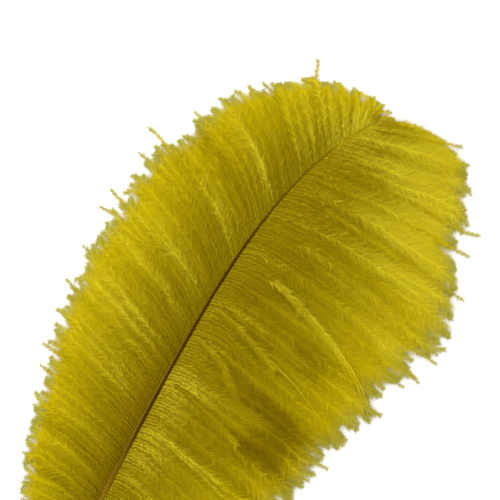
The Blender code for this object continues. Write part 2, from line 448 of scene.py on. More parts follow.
# Finishes: the sockets that are used of a Texture Coordinate, an Attribute and, for colours, a Mix
# node, how the noise is drawn out along each of the coordinates and how fine its detail is, and how
# much it changes
OBJECT_OUTPUT = 3
FACTOR_OUTPUT = 2
MIX_INPUTS = (0, 6, 7)
MIX_OUTPUT = 2
BARB_GRAIN = ((60.0, 9.0, 0.0), 3.0)
BARB_GRAIN_SHIFT = 0.12
BARB_GRAIN_SHADE = 0.16
HORN_GRAIN = ((2600.0, 60.0, 2600.0), 4.0)
HORN_GRAIN_SHIFT = 0.07
FLOOR_GRAIN = ((3.0, 3.0, 3.0), 2.0)
FLOOR_DARKER = 0.985
BARB_SHINE = 0.03
HORN_SHINE = 0.01
# Roughness: the least, and how much the grain adds
BARB_ROUGHNESS = (0.74, 0.16)
HORN_ROUGHNESS = (0.6, 0.2)
FLOOR_ROUGHNESS = 0.9
HORN_BUMP = {"Strength": 0.25, "Distance": 0.2 * MM}
# The most of each colour of the barbs, and from where to where it comes up: the tips' and the fringe's along
# the barb, and the hollows' and the crests' in the shade. The olive at the shaft and the hollows' colour are
# painted shade, and the lighter tips and the crests' colour are painted light, over the yellow dye
OUTWARD = (1.0, 0.08, 1.05)
PAINTED_HOLLOW_SHADE = (0.85, 0.5, 0.08)
PAINTED_CREST_HIGHLIGHT = (0.8, 0.5, 0.9)
FRINGE = (0.9, 0.82, 1.01)
# From where to where, along the shaft, amber turns brown, the painted highlight of the lit edge ends and the
# tip takes the dye, with the most of that. The painted highlight of the lit edge starts in this way across
# the shaft
VANED = (0.27, 0.45)
HIGHLIGHT_STARTS = (-0.35, -0.85)
HIGHLIGHT_ENDS = (0.75, 0.5)
DYED_END = (0.7, 0.68, 0.97)

# Camera: the photograph's frame, laid flat on the surface
FRAME_WIDTH = 325 * MM
FRAME_MIDDLE = Vector((11.0 * MM, 147.8 * MM, 0.0))
FRAME_ROLL = math.radians(27.5)
LENS = 100.0
SENSOR = 36.0
FLOOR_SIZE = 6.0
# The soft light at the upper left: how far aside, how high and how wide
KEY_ASIDE = 0.75
KEY_HEIGHT = 0.72
KEY_SIZE = 0.5


def eased(stations, column, at):
    """One column of a table of stations, read on a smooth curve through them."""
    x, y = stations[:, 0], stations[:, column]
    low = np.clip(np.searchsorted(x, at) - 1, 0, len(x) - 2)
    before, after = np.maximum(np.arange(len(x)) - 1, 0), np.minimum(np.arange(len(x)) + 1, len(x) - 1)
    slopes = (y[after] - y[before]) / (x[after] - x[before])
    span = x[low + 1] - x[low]
    t = np.clip((at - x[low]) / span, 0, 1)
    return (
        (2 * t**3 - 3 * t**2 + 1) * y[low]
        + (t**3 - 2 * t**2 + t) * span * slopes[low]
        + (3 * t**2 - 2 * t**3) * y[low + 1]
        + (t**3 - t**2) * span * slopes[low + 1]
    )


def smooth_step(t):
    t = np.clip(t, 0, 1)
    return t * t * (3 - 2 * t)


def ramp(value, low, high):
    """0 to 1, smoothly, as the value goes from low to high."""
    return smooth_step((value - low) / (high - low))


def heading(at):
    """The shaft's direction at this distance from the quill's end."""
    share = np.clip(at / SHAFT_LENGTH, 0, 1)
    return math.pi / 2 - SHAFT_TURN * share**SHAFT_TURN_POWER


def along(angle):
    """The unit vectors in the surface that point this way, in radians from +X."""
    return np.stack([np.cos(angle), np.sin(angle), np.zeros_like(angle)], -1)


def shaft_place(at):
    """The middle of the shaft's underside at these distances from the quill's end."""
    grid = np.arange(0, SHAFT_LENGTH + MM, MM / 2)
    steps = along(heading((grid[1:] + grid[:-1]) / 2)) * (MM / 2)
    places = np.vstack([np.zeros(3), np.cumsum(steps, 0)]) + (0, -ORIGIN_AT, 0)
    return np.stack([np.interp(at, grid, places[:, k]) for k in range(3)], -1)


def unit(vectors):
    return vectors / np.maximum(np.linalg.norm(vectors, axis=-1, keepdims=True), 1e-12)


def locks_of(draw, vane, arch):
    """A vane's locks, as the solid has them: each one's root, sway, length share and rise.

    The last draws go unused here. They keep the next vane's in step with the solid's.
    """
    phases = [draw.uniform(0, 2 * math.pi) for _ in SWAYS]
    rows = []
    for k in range(LOCKS_A_SIDE):
        at = FIRST_LOCK_AT + (LAST_LOCK_AT - FIRST_LOCK_AT) * k / (LOCKS_A_SIDE - 1)
        sway = sum(size * math.sin(pace * k + phase) for (size, pace), phase in zip(SWAYS, phases))
        longer = 1 + draw.uniform(-LENGTH_SPREAD, LENGTH_SPREAD)
        higher = 1 + draw.uniform(-ARCH_SPREAD, ARCH_SPREAD)
        length = float(eased(vane, 3, np.array(at))) * longer
        rows.append((at, sway, longer, higher * arch * min(1.0, length / ARCH_LENGTH) ** 0.5))
    for _ in range(LOCKS_A_SIDE - 1):
        draw.choice(PART_AT_RINGS)
    return np.array(rows).T


def line_on_surface(at, side, vane, length, leave_more, end_more, bends):
    """Lines that leave the shaft at these roots and turn away from it, as points at each ring."""
    leave, end, early = eased(vane, 1, at) + leave_more, eased(vane, 2, at), eased(vane, 4, at)[:, None]
    turn = early * (1 - np.exp(-STEPS_AT / EARLY_TURN)) + (1 - early) * STEPS_AT**LOCK_TURN_POWER
    late = np.atleast_1d(end_more)[:, None] * STEPS_AT**LOCK_TURN_POWER
    turned = leave[:, None] + (end - leave)[:, None] * turn + late + bends
    angle = heading(at)[:, None] + side * np.radians(turned)
    steps = along(angle) * (length / (BARB_RINGS - 1))[:, None, None]
    root = shaft_place(at)
    return root[:, None] + np.concatenate([np.zeros((len(at), 1, 3)), np.cumsum(steps, 1)], 1)


def outline_of(side, vane):
    """The curve through the tips of a vane's undisturbed barbs, with its outward normals."""
    at = np.arange(FIRST_BARB_AT, SHAFT_LENGTH, MM)
    tips = line_on_surface(at, side, vane, eased(vane, 3, at), 0, 0, 0)[:, -1, :2]
    tangents = unit(np.gradient(tips, axis=0))
    return tips, side * np.stack([-tangents[:, 1], tangents[:, 0]], -1)


def share_inside(line, outline):
    """The share of each line that lies within the outline. It is over 1 where a line ends short."""
    tips, normals = outline
    flat = line[..., :2].reshape(-1, 2)
    nearest = np.argmin(((flat[:, None] - tips) ** 2).sum(-1), axis=1)
    away = np.sum((flat - tips[nearest]) * normals[nearest], -1).reshape(line.shape[:2])
    rows = np.arange(len(line))
    last = BARB_RINGS - 1 - np.argmax(away[:, ::-1] < 0, axis=1)
    after = np.minimum(last + 1, BARB_RINGS - 1)
    inner, outer = away[rows, last], away[rows, after]
    crossed = np.where(after > last, inner / np.minimum(inner - outer, -1e-9), 0.0)
    length = np.linalg.norm(np.diff(line[..., :2], axis=1), axis=2).sum(1)
    short = np.where(after > last, 0.0, np.maximum(-away[:, -1], 0) / length)
    return (last + crossed) / (BARB_RINGS - 1) + short


def own_bends(length, waves, tip_curl, rng):
    """Bends of its own along each barb of these lengths, in degrees, which grow outwards."""
    reached = length[:, None] * STEPS_AT
    bends = np.zeros_like(reached)
    for shortest, longest, size in waves:
        wave = rng.uniform(shortest, longest, len(length))[:, None]
        phase = rng.uniform(0, 2 * math.pi, len(length))[:, None]
        sizes = size * rng.uniform(*OWN_WAVE_RANGE, len(length))[:, None]
        bends += sizes * smooth_step(reached / wave) * np.sin(2 * math.pi * reached / wave + phase)
    curl = tip_curl * rng.normal(0, 1, len(length))[:, None]
    return bends + curl * smooth_step(1 - (length[:, None] - reached) / TIP_CURL_REACH)


def shared_bends(at, length, rng):
    """Bends that neighbours share, in degrees, which grow outwards."""
    reached = length[:, None] * STEPS_AT
    bends = np.zeros_like(reached)
    for wave, drift, size in SHARED_WAVES:
        phase = rng.uniform(0, 2 * math.pi) + 2 * math.pi * at[:, None] / drift
        bends += size * smooth_step(reached / wave) * np.sin(2 * math.pi * reached / wave + phase)
    return bends


def shades(at, length, side, rng):
    """Slow streaks and the places of painted shade and painted light of a vane, for each ring of each barb.
    """
    reached = length[:, None] * RINGS_AT
    total = np.zeros_like(reached)
    for _ in range(PATCH_WAVES):
        wave = rng.uniform(*PATCH_LENGTHS)
        slant = rng.uniform(-PATCH_SLANT, PATCH_SLANT)
        phase = rng.uniform(0, 2 * math.pi)
        total += np.cos(2 * math.pi * (at[:, None] + slant * reached) / wave + phase)
    total *= PATCH_SHADE / math.sqrt(PATCH_WAVES) * smooth_step(RINGS_AT / PATCH_FULL_AT)
    for place_side, place_at, place_t, at_reach, t_reach, more in PAINTED_LIGHT_AND_SHADE_PLACES:
        if place_side == side:
            away = ((at - place_at) / at_reach)[:, None] ** 2 + ((RINGS_AT - place_t) / t_reach) ** 2
            total += more * np.exp(-away)
    return total


class Barbs:
    """Barbs by their middle lines, with the shade of each ring."""

    def __init__(self, line, tone, stem_width, rng, share=None):
        line[..., 2] = np.maximum(line[..., 2], LINE_LOWEST)
        self.line = line
        self.length = np.linalg.norm(np.diff(line, axis=1), axis=2).sum(1)
        self.forward = unit(np.gradient(line, axis=1))
        self.right = unit(np.cross(self.forward, (0.0, 0.0, 1.0)))
        self.up = np.cross(self.right, self.forward)
        self.tone = np.clip(tone, *BARB_SHADES)[..., None]
        self.share = np.ones(len(line)) if share is None else share
        self.stem_width = stem_width
        many = len(line)
        drift = np.cumsum(rng.normal(0, KINK_LENGTH_DRIFT, many))
        self.kink_length = KINK_LENGTH * (1 + KINK_LENGTH_SPREAD * np.sin(drift))
        self.kink_phase = np.cumsum(rng.normal(0, KINK_DRIFT, many))

    def read(self, values, barb, t):
        """A ring-by-ring quantity of these barbs, read at a share t of their length."""
        place = np.clip(t, 0, 1) * (BARB_RINGS - 1)
        low = np.minimum(place.astype(int), BARB_RINGS - 2)
        rest = (place - low)[:, None]
        return values[barb, low] * (1 - rest) + values[barb, low + 1] * rest

    def place(self, barb, t):
        """Points on these barbs at a share t of their length, with the fine kinks."""
        reached = t * self.length[barb]
        kink = np.sin(2 * math.pi * (reached / self.kink_length[barb] + self.kink_phase[barb]))
        faded = ramp(reached, *KINK_FADES)
        size = KINK_SIZE * smooth_step(reached / KINK_FROM) * (1 - (1 - KINK_LEFT) * faded)
        aside = (size * kink)[:, None]
        return self.read(self.line, barb, t) + self.read(self.right, barb, t) * aside

    def fitted(self, length, barb, t, ends):
        """Lengths of what grows on these barbs, shorter near a barb's end and never long beside it."""
        to_end = (1 - t) * self.length[barb]
        length = length * (ends[0] + (1 - ends[0]) * smooth_step(to_end / ends[1]))
        return np.minimum(length, LONGEST_ON_BARB * self.length[barb])


def bow_height(at, locks, reach=1.0):
    """A vane's height along barbs that leave the shaft at these places and reach this share of it."""
    t = np.minimum(RINGS_AT * reach, 1.0)
    root = eased(SHAFT_WIDTHS, 1, at) * SHAFT_HEIGHT_SHARE * ROOT_HEIGHT_SHARE
    rise = np.interp(at, locks[0], locks[3])
    return root[:, None] * (1 - t) + TIP_HEIGHT * t + rise[:, None] * np.sin(math.pi * t**ARCH_SKEW)


def vane_barbs(side, vane, locks, spacing, crown, gathered, root_width, rng):
    """The barbs of one vane. A few neighbours at a time gather into a strand with a crest."""
    grid = np.arange(FIRST_BARB_AT, LAST_BARB_AT, MM)
    passed = np.cumsum(MM / (spacing * eased(SPACINGS, 1, grid)))
    count = int(passed[-1])
    at = np.interp(np.arange(count) + rng.uniform(*ROOT_JITTER, count), passed, grid)
    strand = np.repeat(np.arange(count), rng.integers(*BARBS_A_STRAND, count))[:count]
    strands = strand[-1] + 1
    members = np.bincount(strand)
    middle = np.bincount(strand, at) / members
    half = np.maximum(np.bincount(strand, np.abs(at - middle[strand])) / members * 2, LEAST_HALF_STRAND)
    across = np.clip((at - middle[strand]) / half[strand], -1, 1)
    usual = eased(vane, 3, at)
    strand_share = LONGEST_STRAND - np.abs(rng.normal(0, STRAND_LENGTH_SPREAD, strands))
    strand_share *= 1 + LOCK_LENGTH_SHARE * (np.interp(middle, locks[0], locks[2]) - 1)
    shorter = strand_share[strand] * (1 - EDGE_SHORTER * np.abs(across) * rng.uniform(0, EDGE_SPREAD, count))
    strand_turn = rng.normal(0, STRAND_TURN, strands)
    strand_bends = shared_bends(middle, eased(vane, 3, middle), rng)[strand]
    sway = np.interp(at, locks[0], locks[1]) + strand_turn[strand]
    bends = strand_bends + own_bends(usual, OWN_WAVES, TIP_CURL, rng)
    turn = sway + rng.normal(0, TURN_SPREAD, count)
    outline = outline_of(side, vane)
    length = usual.copy()
    for _ in range(OUTLINE_PASSES):
        length *= share_inside(line_on_surface(at, side, vane, length, 0, turn, bends), outline)
    length *= shorter
    loners = rng.random(count) < LONER_SHARE
    length += loners * rng.uniform(*LONER_MORE, count) * np.minimum(length / LONER_FROM, 1)
    own = line_on_surface(at, side, vane, length, 0, turn, bends)
    centre = middle[strand]
    shared_sway = np.interp(centre, locks[0], locks[1]) + strand_turn[strand]
    shared = line_on_surface(centre, side, vane, length, 0, shared_sway, strand_bends)
    given_up, pace, begins = PARTING
    held = smooth_step(RINGS_AT * GATHER_PACE) * (1 - given_up * smooth_step((RINGS_AT - begins) * pace))
    line = own + (shared - own) * (gathered * held)[None, :, None]
    height = bow_height(at, locks)
    crest = rng.uniform(*CREST_RANGE, strands)[strand] - CREST_EDGE * across**2
    height += crown * crest[:, None] * np.sin(math.pi * RINGS_AT**CREST_BOW)
    height += rng.normal(0, LIFT_SPREAD, count)[:, None] * np.sin(math.pi * RINGS_AT**LIFT_BOW)
    line[..., 2] = height
    tone = MIDDLE_SHADE + shades(at, usual, side, rng)
    own_tone = rng.normal(0, STRAND_SHADE, strands)[strand] + rng.normal(0, BARB_SHADE, count)
    # Painted light on each strand's crest and painted shade at its edges
    own_tone += CREST_PAINTED_LIGHT_AND_SHADE * (CREST_MIDDLE - across**2)
    tone += own_tone[:, None] * (NEAR_SHAFT + (1 - NEAR_SHAFT) * smooth_step(RINGS_AT * SHADE_PACE))
    width = root_width * (eased(SHAFT_WIDTHS, 1, at) / USUAL_SHAFT_WIDTH) ** STEM_WIDTH_POWER
    return Barbs(line, tone, width, rng)


def top_barbs(side, vane, locks, rows, curl, root_width, rng):
    """Barbs that lie on a vane or reach past it, from rows as in THREADS but for the side."""
    made = []
    least, growth = TOP_LIFT_GROWTH
    for middle, leave_more, end_more, share, count, rises, lift, fluff, shade, thicker in rows:
        spread = 0.0 if count == 1 else 1.0
        at = middle + spread * rng.normal(0, TOP_SPREAD, count)
        length = eased(vane, 3, at) * share * (1 - spread * rng.uniform(0, TOP_SHORTER, count))
        bends = own_bends(length[:1], TOP_WAVES, curl, rng) + spread * own_bends(length, TOP_WAVES, curl, rng)
        turn = end_more + spread * rng.normal(0, TOP_TURN_SPREAD, count)
        line = line_on_surface(at, side, vane, length, leave_more, turn, bends)
        over = smooth_step((RINGS_AT - rises) / TOP_RISE + 1)
        lifts = (lift * rng.uniform(*TOP_LIFTS, count))[:, None] * over * (least + growth * RINGS_AT)
        line[..., 2] = bow_height(at, locks, share) + lifts - TOP_SUNK * (1 - over)
        tone = MIDDLE_SHADE + shade * over + rng.normal(0, BARB_SHADE, count)[:, None]
        width, length_share = root_width * thicker, min(share, 1.0)
        made.append((line, tone, *(np.full(count, value) for value in (width, length_share, fluff))))
    lines, tones, widths, shares, fluffs = (np.concatenate(values) for values in zip(*made))
    return Barbs(lines, tones, widths, rng, shares), fluffs


def map_places(u, v):
    """Places in the map, one for each point."""
    return np.stack([u, np.broadcast_to(v, u.shape)], -1).reshape(-1, 2)


def stems(barbs, chosen):
    """Roofed ribbons along the barbs: points, triangles and places in the map."""
    length = barbs.length[chosen, None]
    fine = np.minimum(STEM_FINE_REACH, STEM_FINE_SHARE * length)
    near = fine * np.linspace(0, 1, STEM_FINE_RINGS)
    far = fine + (length - fine) * np.linspace(0, 1, STEM_FAR_RINGS + 1)[1:]
    t = np.concatenate([near, far], 1) / length
    many = t.shape[1]
    barb, flat_t = np.repeat(chosen, many), t.ravel()
    half = (barbs.stem_width[barb] * (1 - (1 - STEM_TIP_SHARE) * flat_t) / 2)[:, None]
    line = barbs.place(barb, flat_t)
    right, up = barbs.read(barbs.right, barb, flat_t), barbs.read(barbs.up, barb, flat_t)
    points = np.stack([line - right * half, line + up * half * 2 * STEM_RIDGE_SHARE, line + right * half], 1)
    first = (np.arange(len(chosen)) * many)[:, None] + np.arange(many - 1)
    low = first.reshape(-1)[:, None] * 3 + np.array((0, 1))
    quads = np.stack([low, low + 1, low + 4, low + 3], -1).reshape(-1, 4)
    faces = np.concatenate([quads[:, [0, 1, 2]], quads[:, [0, 2, 3]]])
    # Painted highlight on the stems' ridges near the shaft
    ridge_highlight = STEM_RIDGE_HIGHLIGHT * (1 - smooth_step(t * length / STEM_HIGHLIGHT_REACH)).reshape(-1, 1)
    u = barbs.read(barbs.tone, barb, flat_t) + ridge_highlight + np.array((-1, 0, 1)) * STRAND_WIDTH_IN_MAP / 2
    return points.reshape(-1, 3), faces, map_places(u, (flat_t * barbs.share[barb])[:, None])


def blades(root, way, flat, length, width, tone, t):
    """Thin blades from these roots, one triangle each: points, triangles and places in the map."""
    flat = np.where(np.cross(flat, way)[:, 2:] < 0, -flat, flat)
    half = flat * (width / 2)[:, None]
    points = np.stack([root - half, root + half, root + way * length[:, None]], 1)
    u = np.clip(tone, *MAP_EDGES)[:, None] + np.array((-0.5, 0.5, 0.0)) * STRAND_WIDTH_IN_MAP
    v = np.minimum(t, MAP_TOP)[:, None] + np.array((0.0, 0.0, 1.0)) * STRAND_WIDTH_IN_MAP
    return points.reshape(-1, 3), np.arange(3 * len(root)).reshape(-1, 3), map_places(u, v)


def way_off(forward, out, up, lean, droop):
    """The ways that leave a barb to one side at this lean and this droop, in degrees."""
    lean, droop = np.radians(lean)[:, None], np.radians(droop)[:, None]
    return forward * np.cos(lean) + np.sin(lean) * (out * np.cos(droop) - up * np.sin(droop))


def square_to(way, vectors):
    """What is square to the ways in these vectors, as unit vectors."""
    return unit(vectors - way * np.sum(vectors * way, -1, keepdims=True))


def gathered_parts(parts):
    """Several sets of points, triangles and map places as one."""
    starts = np.cumsum([0] + [len(points) for points, _, _ in parts[:-1]])
    faces = np.concatenate([part[1] + start for part, start in zip(parts, starts)])
    return np.concatenate([part[0] for part in parts]), faces, np.concatenate([part[2] for part in parts])


def tufts(barbs, chosen, pitch, width, fluff, ends, rng):
    """Tufts of barbules down both sides of the barbs. Near a barb's end they are shorter, as ends says."""
    counts = np.maximum((barbs.length[chosen] / pitch).astype(int), 2)
    barb = np.repeat(chosen, 2 * counts)
    place = np.concatenate([np.repeat(np.arange(n), 2) for n in counts])
    total = np.repeat(counts, 2 * counts)
    side = np.tile((-1.0, 1.0), len(barb) // 2)
    many = len(barb)
    t = (place + rng.uniform(*PLACE_IN_STRETCH, many)) / total
    reached = t * barbs.length[barb]
    length = eased(BARBULES, 1, reached) * fluff[barb] * rng.uniform(*LENGTH_RANGE, many)
    length = barbs.fitted(length, barb, t, ends)
    spread = NEAT_SHARE + (1 - NEAT_SHARE) * ramp(reached, *LOOSENS)
    lean = eased(BARBULES, 2, reached) * ends[2]
    lean += rng.normal(0, TUFT_LEAN_SPREAD * min(ends[2], 1), many) * spread
    lean += END_SPLAY * (1 - smooth_step((barbs.length[barb] - reached) / END_SPLAY_REACH))
    droop = eased(BARBULES, 3, reached) + rng.normal(0, TUFT_DROOP_SPREAD, many) * spread
    forward = unit(barbs.read(barbs.forward, barb, t))
    right = unit(barbs.read(barbs.right, barb, t))
    up = np.cross(right, forward)
    out = right * side[:, None]
    tuft_tip = barbs.place(barb, t) + way_off(forward, out, up, lean, droop) * length[:, None]
    tone = barbs.read(barbs.tone, barb, t)[:, 0] + rng.normal(0, TUFT_SHADE, many)
    parts = []
    for k in range(BARBULES_A_TUFT):
        shift = ((k + 0.5) / BARBULES_A_TUFT - 0.5) * pitch / barbs.length[barb]
        root = barbs.place(barb, np.clip(t + shift, 0, 1))
        own_lean = lean + rng.normal(0, OWN_LEAN_SPREAD, many) * spread
        own_droop = droop + rng.normal(0, OWN_DROOP_SPREAD, many) * spread
        size = length * rng.uniform(*OWN_LENGTHS, many)
        own_way = way_off(forward, out, up, own_lean, own_droop)
        own_way = unit(own_way * (1 - TUFT_DRAW) + (tuft_tip - root) * (TUFT_DRAW / size)[:, None])
        roll = np.radians(rng.normal(0, ROLL_SPREAD, many))[:, None]
        flat = square_to(own_way, forward)
        flat = flat * np.cos(roll) + np.cross(own_way, flat) * np.sin(roll)
        thick = width * rng.uniform(*OWN_WIDTHS, many)
        own_tone = tone + rng.normal(0, OWN_SHADE, many)
        parts.append(blades(root, own_way, flat, size, thick, own_tone, t * barbs.share[barb]))
    return gathered_parts(parts)


def down(barbs, chosen, pitch, width, rng):
    """Broad soft blades below the stems, which close the vane."""
    counts = np.maximum((barbs.length[chosen] / pitch).astype(int), 2)
    barb = np.repeat(chosen, counts)
    many = len(barb)
    t = np.concatenate([(np.arange(n) + rng.random(n)) / n for n in counts])
    side = rng.choice((-1.0, 1.0), many)[:, None]
    reached = t * barbs.length[barb]
    length = barbs.fitted(eased(DOWN, 1, reached) * rng.uniform(*LENGTH_RANGE, many), barb, t, BARB_ENDS)
    lean = eased(DOWN, 2, reached) + rng.normal(0, TUFT_LEAN_SPREAD, many)
    droop = eased(DOWN, 3, reached) + rng.normal(0, DOWN_DROOP_SPREAD, many)
    forward = unit(barbs.read(barbs.forward, barb, t))
    out = unit(barbs.read(barbs.right, barb, t)) * side
    up = barbs.read(barbs.up, barb, t)
    way = way_off(forward, out, up, lean, droop)
    root = barbs.read(barbs.line, barb, t) - up * (width / 2)
    # Painted shade: the down is darker than its barb
    tone = barbs.read(barbs.tone, barb, t)[:, 0] - DOWN_PAINTED_SHADE + rng.normal(0, OWN_SHADE, many)
    widths = width * rng.uniform(*DOWN_WIDTHS, many)
    return blades(root, way, square_to(way, forward), length, widths, tone, t)


def under_layer(barbs, first, last, rng):
    """The soft mat just below a run of barbs, which closes the gaps between them."""
    chosen = np.arange(first, min(last + 1, len(barbs.length)))
    edge = LAYER_SMOOTHING // 2

    def smoothed(values):
        padded = np.pad(values, ((edge, edge),) + ((0, 0),) * (values.ndim - 1), mode="edge")
        return sum(padded[k:k + len(values)] for k in range(LAYER_SMOOTHING)) / LAYER_SMOOTHING

    line, tone = smoothed(barbs.line)[chosen], smoothed(barbs.tone[..., 0])[chosen]
    t = np.linspace(0, 1, LAYER_RINGS)
    reach = np.minimum(rng.uniform(*LAYER_REACH, len(chosen)), 1 - LAYER_STOPS / barbs.length[chosen])
    share = t * reach[:, None]
    place = share * (BARB_RINGS - 1)
    low = np.minimum(place.astype(int), BARB_RINGS - 2)
    rest = place - low
    rows = np.arange(len(chosen))[:, None]
    points = line[rows, low] * (1 - rest)[..., None] + line[rows, low + 1] * rest[..., None]
    points[..., 2] -= LAYER_DEPTH
    at_root = 1 - smooth_step(barbs.length[chosen, None] * share / LAYER_ROOT)
    streaks = rng.normal(0, LAYER_STREAKS, (len(chosen), 1)) + rng.normal(0, LAYER_STREAKS / 2, share.shape)
    # Painted shade: the mat is darker below the barbs, and darker still near the shaft
    u = np.clip(tone[rows, low] - LAYER_PAINTED_SHADE - LAYER_ROOT_PAINTED_SHADE * at_root + streaks, *MAP_EDGES)
    corner = (np.arange(len(chosen) - 1) * LAYER_RINGS)[:, None] + np.arange(LAYER_RINGS - 1)
    corner = corner.reshape(-1, 1)
    faces = np.concatenate([corner + (0, 1, LAYER_RINGS + 1), corner + (0, LAYER_RINGS + 1, LAYER_RINGS)])
    points = points.reshape(-1, 3)
    ends = points[faces]
    turned = np.cross(ends[:, 1] - ends[:, 0], ends[:, 2] - ends[:, 0])[:, 2] < 0
    faces[turned] = faces[turned][:, ::-1]
    return points, faces, map_places(u, share)


def root_down(side, vane, pitch, width, rng):
    """Short down between the roots of the last barbs, which lies over the shaft near its tip."""
    many = int((LAST_BARB_AT - ROOT_DOWN_FROM) / pitch)
    at = np.sort(rng.uniform(ROOT_DOWN_FROM, LAST_BARB_AT + MM / 2, many))
    over = ramp(at, *COVERED) * (rng.random(many) < COVERING_SHARE)
    angle = heading(at) + side * np.radians(eased(vane, 1, at) + rng.normal(0, ROOT_DOWN_TURN, many))
    height = eased(SHAFT_WIDTHS, 1, at) * SHAFT_HEIGHT_SHARE
    length = np.minimum(rng.uniform(*ROOT_DOWN_LENGTHS, many), eased(vane, 3, at) * ROOT_DOWN_REACH)
    slope = np.radians(rng.uniform(*ROOT_DOWN_SLOPES, many))[:, None]
    level = along(angle)
    up = np.array((0.0, 0.0, 1.0))
    way = level * np.cos(slope) + up * np.sin(slope)
    root = shaft_place(at) - level * (over * ROOT_DOWN_BACK)[:, None]
    root[:, 2] = height * (rng.uniform(*BESIDE_HEIGHTS, many) * (1 - over) + OVER_HEIGHT * over)
    # Painted light on the down that covers the shaft
    tone = rng.normal(*ROOT_DOWN_SHADE, many) + COVER_PAINTED_LIGHT * over
    share = np.where(over > 0, OVER_IN_MAP, BESIDE_IN_MAP)
    return blades(root, way, np.cross(up, level), length, np.full(many, width), tone, share)


def joined_mesh(name, parts, material):
    """One mesh object out of several sets of points, triangles and map places."""
    points, faces, uv = gathered_parts(parts)
    points[:, 2] = np.maximum(points[:, 2], LOWEST)
    faces = faces.astype(np.int32)
    mesh = bpy.data.meshes.new(name)
    mesh.vertices.add(len(points))
    mesh.vertices.foreach_set("co", points.astype(np.float32).ravel())
    mesh.loops.add(faces.size)
    mesh.loops.foreach_set("vertex_index", faces.ravel())
    mesh.polygons.add(len(faces))
    mesh.polygons.foreach_set("loop_start", np.arange(0, faces.size, 3, dtype=np.int32))
    mesh.update(calc_edges=True)
    layer = mesh.uv_layers.new(name="OFBake")
    layer.data.foreach_set("uv", uv[faces.ravel()].astype(np.float32).ravel())
    mesh.shade_smooth()
    mesh.materials.append(material)
    piece = bpy.data.objects.new(name, mesh)
    bpy.context.scene.collection.objects.link(piece)
    return piece


class Value:
    """A number that changes over a surface. An expression on it adds Math nodes."""

    def __init__(self, tree, socket):
        self.tree = tree
        self.socket = socket

    def math(self, operation, first, second):
        node = self.tree.nodes.new("ShaderNodeMath")
        node.operation = operation
        for place, value in enumerate((first, second)):
            if isinstance(value, Value):
                self.tree.links.new(value.socket, node.inputs[place])
            else:
                node.inputs[place].default_value = value
        return Value(self.tree, node.outputs[0])

    def __add__(self, other):
        return self.math("ADD", self, other)

    def __radd__(self, other):
        return self.math("ADD", other, self)

    def __sub__(self, other):
        return self.math("SUBTRACT", self, other)

    def __rsub__(self, other):
        return self.math("SUBTRACT", other, self)

    def __mul__(self, other):
        return self.math("MULTIPLY", self, other)

    def __rmul__(self, other):
        return self.math("MULTIPLY", other, self)


class Finish:
    """A material and the nodes that paint it."""

    def __init__(self, name):
        self.material = bpy.data.materials.new(name)
        self.material.use_nodes = True
        self.tree = self.material.node_tree
        self.shader = self.tree.nodes["Principled BSDF"]

    def node(self, kind, settings=None, inputs=None, output=0):
        """A node of this kind with these settings and inputs, as the value of one output."""
        node = self.tree.nodes.new(kind)
        for key, value in (settings or {}).items():
            setattr(node, key, value)
        for key, value in (inputs or {}).items():
            self.feed(node.inputs[key], value)
        return Value(self.tree, node.outputs[output])

    def feed(self, socket, value):
        if isinstance(value, Value):
            self.tree.links.new(value.socket, socket)
        else:
            socket.default_value = value

    def mixed(self, share, first, second):
        """Two colours mixed by a share."""
        inputs = dict(zip(MIX_INPUTS, (share, first, second)))
        return self.node("ShaderNodeMix", {"data_type": "RGBA"}, inputs, MIX_OUTPUT)

    def share(self, value, low, high):
        """0 to 1, smoothly, as the value goes from low to high."""
        settings = {"interpolation_type": "SMOOTHSTEP"}
        return self.node("ShaderNodeMapRange", settings, {"Value": value, "From Min": low, "From Max": high})

    def grain(self, place, stretch, detail):
        """Noise over a surface, from these places drawn out by these factors."""
        drawn_out = self.node("ShaderNodeVectorMath", {"operation": "MULTIPLY"}, {0: place, 1: stretch})
        return self.node("ShaderNodeTexNoise", inputs={"Vector": drawn_out, "Scale": 1.0, "Detail": detail})

    def parts(self, vector):
        """The three numbers of a vector."""
        first = self.node("ShaderNodeSeparateXYZ", inputs={0: vector})
        return [Value(self.tree, socket) for socket in first.socket.node.outputs]

    def let_through(self, colour, share):
        """A share of the light passes through the surface and leaves it in this colour."""
        surface = Value(self.tree, self.shader.outputs[0])
        behind = self.node("ShaderNodeBsdfTranslucent", inputs={"Color": colour})
        both = self.node("ShaderNodeMixShader", inputs={0: share, 1: surface, 2: behind})
        self.feed(self.tree.nodes["Material Output"].inputs["Surface"], both)

    def paint(self, values):
        """The shader's sockets, by name, get these values."""
        for key, value in values.items():
            self.feed(self.shader.inputs[key], value)


def opaque(colour):
    return (*colour, 1.0)


def barb_finish(props):
    """Dyed down, yellow and a little different from barb to barb, with painted shade, olive at the shaft and
    in the hollows, and painted light, brighter outwards and on the crests.
    """
    finish = Finish("dyed_barbs")
    uv = finish.node("ShaderNodeUVMap", {"uv_map": "OFBake"})
    tone, reached, _ = finish.parts(uv)
    patchy = finish.grain(uv, *BARB_GRAIN) - 0.5
    light = tone + BARB_GRAIN_SHADE * patchy
    base = opaque(props.root_dye_and_shade_colour)
    for value, (most, low, high), colour in (
        (reached + BARB_GRAIN_SHIFT * patchy, OUTWARD, props.tip_colour),
        (light, PAINTED_HOLLOW_SHADE, props.hollow_shade_colour),
        (light, PAINTED_CREST_HIGHLIGHT, props.crest_highlight_colour),
        (reached, FRINGE, props.fringe_colour),
    ):
        base = finish.mixed(most * finish.share(value, low, high), base, opaque(colour))
    rough, rougher = BARB_ROUGHNESS
    finish.paint({
        "Base Color": base,
        "Roughness": rough + rougher * patchy,
        "Specular IOR Level": BARB_SHINE,
    })
    finish.let_through(opaque(props.light_through_colour), props.light_through)
    return finish.material


